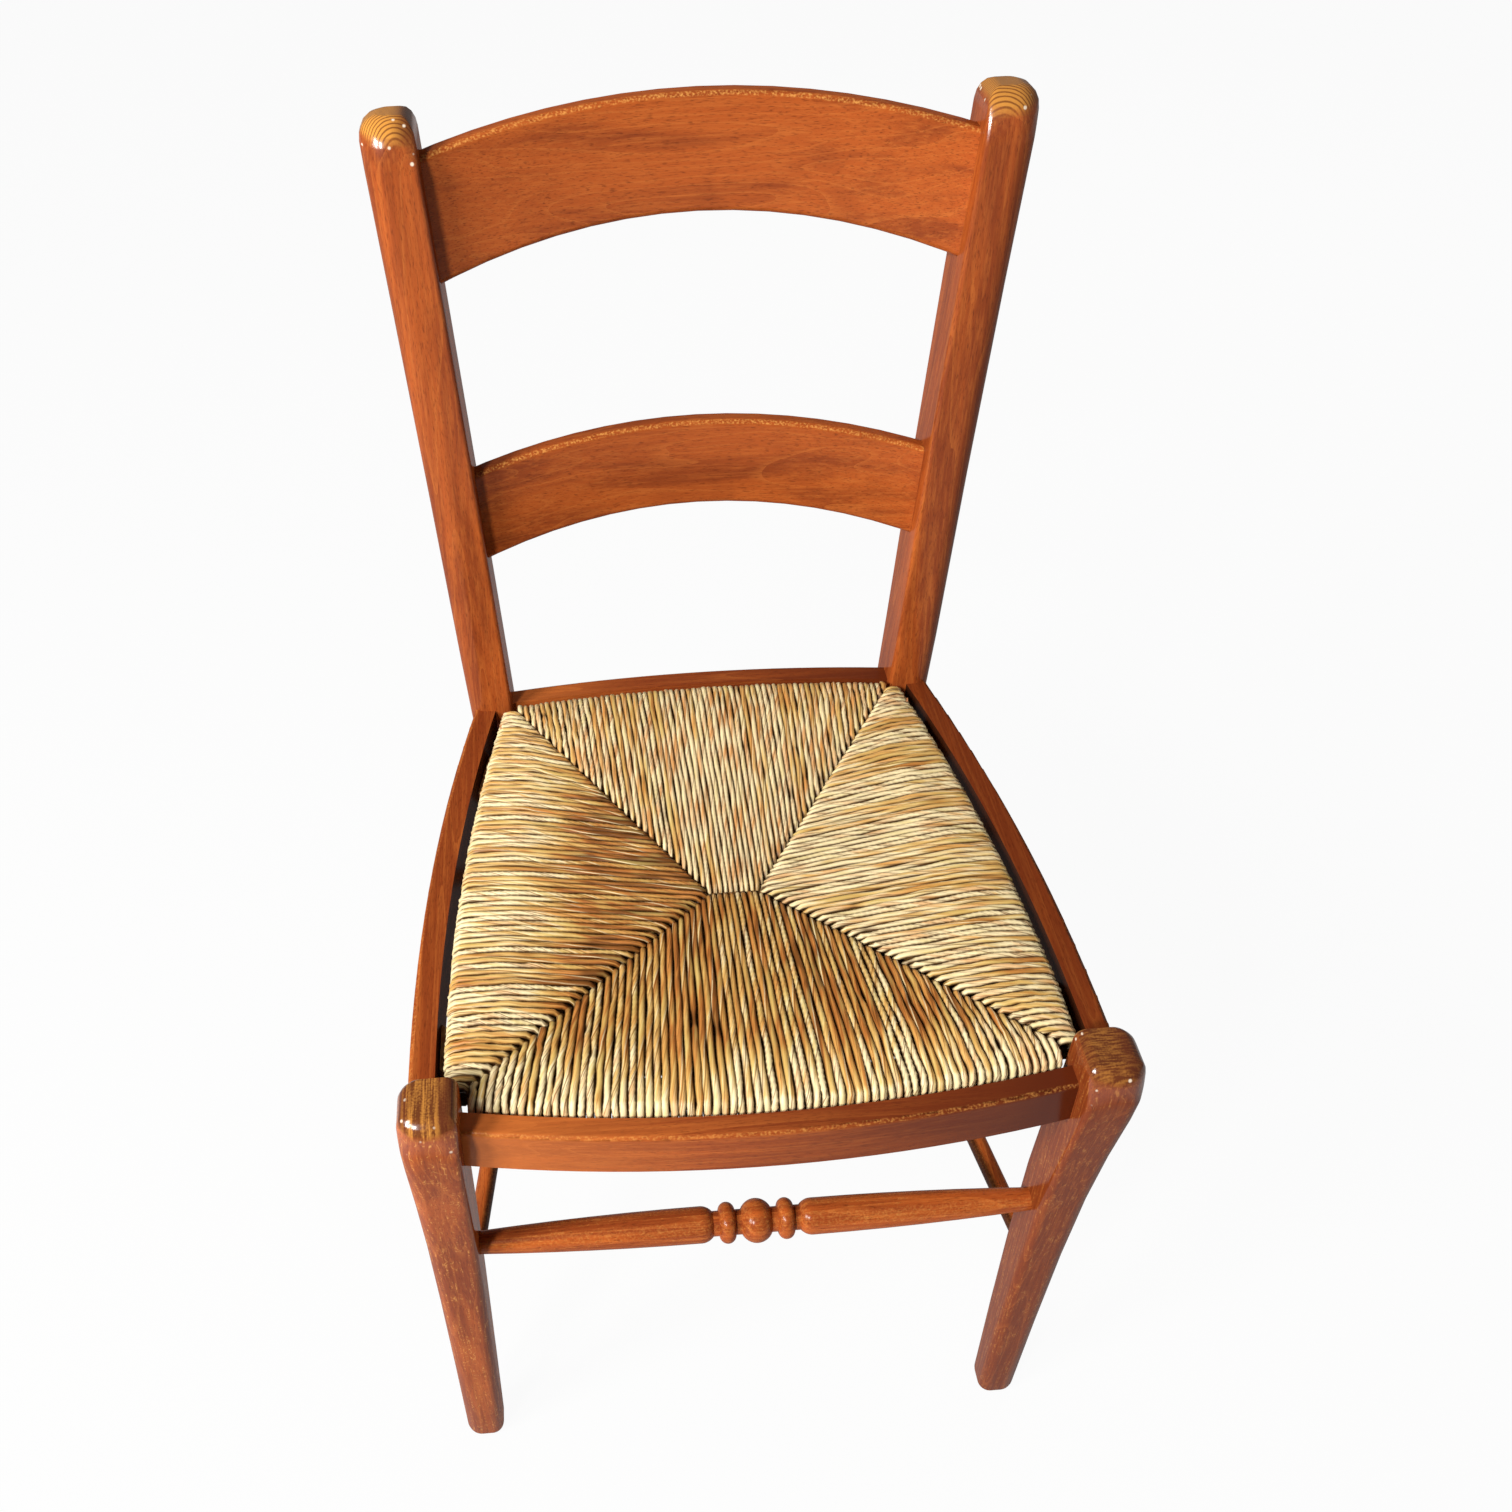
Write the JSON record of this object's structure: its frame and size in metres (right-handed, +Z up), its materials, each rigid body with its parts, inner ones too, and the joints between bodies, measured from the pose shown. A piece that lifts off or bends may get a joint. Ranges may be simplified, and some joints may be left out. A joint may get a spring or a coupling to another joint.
{
  "type": "rush-seated chair",
  "caption": "Ladder-back dining chair in stained wood with arched back slats, turned front stretcher and a lift-out seat woven from rush.",
  "frame": {"origin": "on the floor under the middle of the chair's overall box", "axes": "+Z up, the chair faces -Y, +X to the right as seen from in front"},
  "size_m": [0.4436, 0.4618, 0.864],
  "materials": {
    "stained_beech": "stained and lacquered, satin",
    "plain_beech": "sawn and planed, unfinished",
    "rush": "twisted rush cord, matt",
    "straw": "loose straw, matt"
  },
  "bodies": {
    "frame": {"left_back_post": "stained_beech", "right_back_post": "stained_beech", "left_front_leg": "stained_beech", "right_front_leg": "stained_beech", "front_seat_rail": "stained_beech", "rear_seat_rail": "stained_beech", "left_seat_rail": "stained_beech", "right_seat_rail": "stained_beech", "top_back_slat": "stained_beech", "lower_back_slat": "stained_beech", "front_stretcher": "stained_beech", "rear_stretcher": "stained_beech", "left_side_stretcher": "stained_beech", "right_side_stretcher": "stained_beech", "left_front_corner_block": "plain_beech", "right_front_corner_block": "plain_beech", "left_rear_corner_block": "plain_beech", "right_rear_corner_block": "plain_beech"},
    "seat": {"front_rush_panel": "rush", "rear_rush_panel": "rush", "left_rush_panel": "rush", "right_rush_panel": "rush", "front_batten": "plain_beech", "rear_batten": "plain_beech", "left_batten": "plain_beech", "right_batten": "plain_beech", "straw_stuffing": "straw"}
  },
  "joints": [
    {"name": "seat_lift", "type": "slide", "parent": "frame", "child": "seat", "axis": [0, 0, 1], "range_m": [0, 0.08]}
  ]
}
